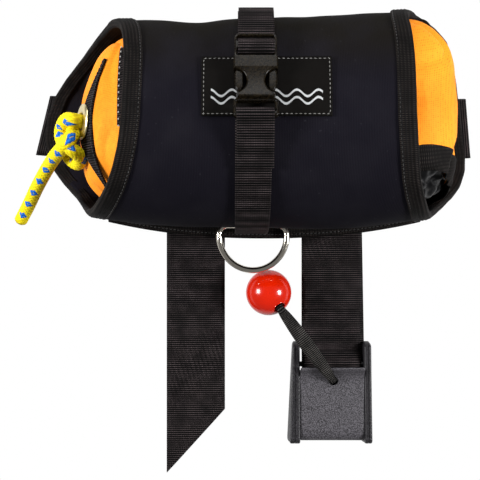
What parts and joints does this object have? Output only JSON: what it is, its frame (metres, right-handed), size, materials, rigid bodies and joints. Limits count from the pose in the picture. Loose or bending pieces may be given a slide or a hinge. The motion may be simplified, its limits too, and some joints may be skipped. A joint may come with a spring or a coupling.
{
  "type": "throw rope bag",
  "caption": "Waist-worn throw bag: a rope bag in a padded wrap with a clip strap, a D-ring, a waist belt and a quick-release cam buckle pulled by a ball",
  "frame": {"origin": "on the flat outside face of the belt keeper behind the wrap, level with the middle of the front panel and on the bag's axis", "axes": "+Z leaves the front of the wrap, +X runs along the barrel towards the bag's mouth, +Y is up when the belt is worn; the object lies on its back"},
  "size_m": [0.3853, 0.3683, 0.1623],
  "materials": {
    "neoprene": "knit-faced foam rubber, matt",
    "binding": "ribbed grosgrain tape",
    "patch": "woven patch with a stitched border",
    "webbing": "flat ribbed nylon webbing",
    "buckle_plastic": "moulded acetal",
    "ring_steel": "polished wire",
    "cam_plastic": "moulded nylon with a fine grain",
    "pin_steel": "drawn steel",
    "cord": "braided cord",
    "ball": "gloss moulded",
    "bag_cloth": "plain-weave nylon",
    "brass": "polished",
    "collar_cloth": "thin nylon",
    "drawcord": "braided cord",
    "foam": "closed-cell foam",
    "rope": "braided polypropylene with blue flecks"
  },
  "bodies": {
    "wrap": {"wrap_front_panel": "neoprene", "wrap_back_panel": "neoprene", "edge_binding_left": "binding", "edge_binding_right": "binding", "bottom_seam_binding": "binding", "belt_keeper": "binding", "label_patch": "patch", "waist_belt": "webbing", "lower_strap": "webbing", "upper_strap": "webbing", "d_ring_tab": "webbing", "buckle_female": "buckle_plastic"},
    "throw_bag": {"bag_body": "bag_cloth", "bag_end_band": "webbing", "grommet": "brass", "grommet_washer": "brass", "mouth_trim": "webbing", "mouth_collar": "collar_cloth", "mouth_drawcord": "drawcord", "cord_lock_body": "buckle_plastic", "cord_lock_spring": "pin_steel", "float_foam": "foam", "throw_rope": "rope"},
    "cord_lock_button": {"cord_lock_plunger": "buckle_plastic"},
    "clip": {"buckle_male": "buckle_plastic"},
    "clip_arm_left": {"buckle_arm_left": "buckle_plastic"},
    "clip_arm_right": {"buckle_arm_right": "buckle_plastic"},
    "ring": {"d_ring": "ring_steel"},
    "cam_buckle": {"cam_frame": "cam_plastic", "cam_pin": "pin_steel"},
    "lever": {"cam_lever": "cam_plastic"},
    "pull": {"pull_cord": "cord", "pull_ball": "ball"}
  },
  "joints": [
    {"name": "throw_bag_slide", "type": "slide", "parent": "wrap", "child": "throw_bag", "axis": [-1, 0, 0], "range_m": [0, 0.3]},
    {"name": "cord_lock_press", "type": "slide", "parent": "throw_bag", "child": "cord_lock_button", "axis": [0, 0, -1], "range_m": [0, 0.004], "stiffness_N_per_m": 300, "deforming": ["cord_lock_spring"]},
    {"name": "clip_release", "type": "slide", "parent": "wrap", "child": "clip", "axis": [0, 0.9724, -0.2334], "range_m": [0, 0.032]},
    {"name": "clip_arm_right_flex", "type": "hinge", "parent": "clip", "child": "clip_arm_right", "pos_m": [0.0013, 0.03238, 0.14911], "axis": [0, 0.2334, 0.9724], "range_deg": [-7, 0], "stiffness_Nm_per_rad": 0.05},
    {"name": "clip_arm_left_flex", "type": "hinge", "parent": "clip", "child": "clip_arm_left", "pos_m": [-0.0203, 0.03238, 0.14911], "axis": [0, 0.2334, 0.9724], "range_deg": [0, 7], "stiffness_Nm_per_rad": 0.05},
    {"name": "ring_swing", "type": "hinge", "parent": "wrap", "child": "ring", "pos_m": [-0.0095, -0.074, 0.038], "axis": [1, 0, 0], "range_deg": [-65, 10]},
    {"name": "cam_buckle_tilt", "type": "hinge", "parent": "wrap", "child": "cam_buckle", "pos_m": [0.058, -0.192, 0.005], "axis": [1, 0, 0], "range_deg": [-25, 40]},
    {"name": "cam_lever_open", "type": "hinge", "parent": "cam_buckle", "child": "lever", "pos_m": [0.058, -0.247, 0.009], "axis": [1, 0, 0], "range_deg": [0, 100]},
    {"name": "pull_ball_lift", "type": "hinge", "parent": "lever", "child": "pull", "pos_m": [0.059, -0.205, 0.011], "axis": [0.8064, 0.5914, 0], "range_deg": [0, 40]}
  ],
  "couplings": [
    {"joint": "clip_arm_left_flex", "follows": "clip_arm_right_flex", "ratio": -1}
  ]
}
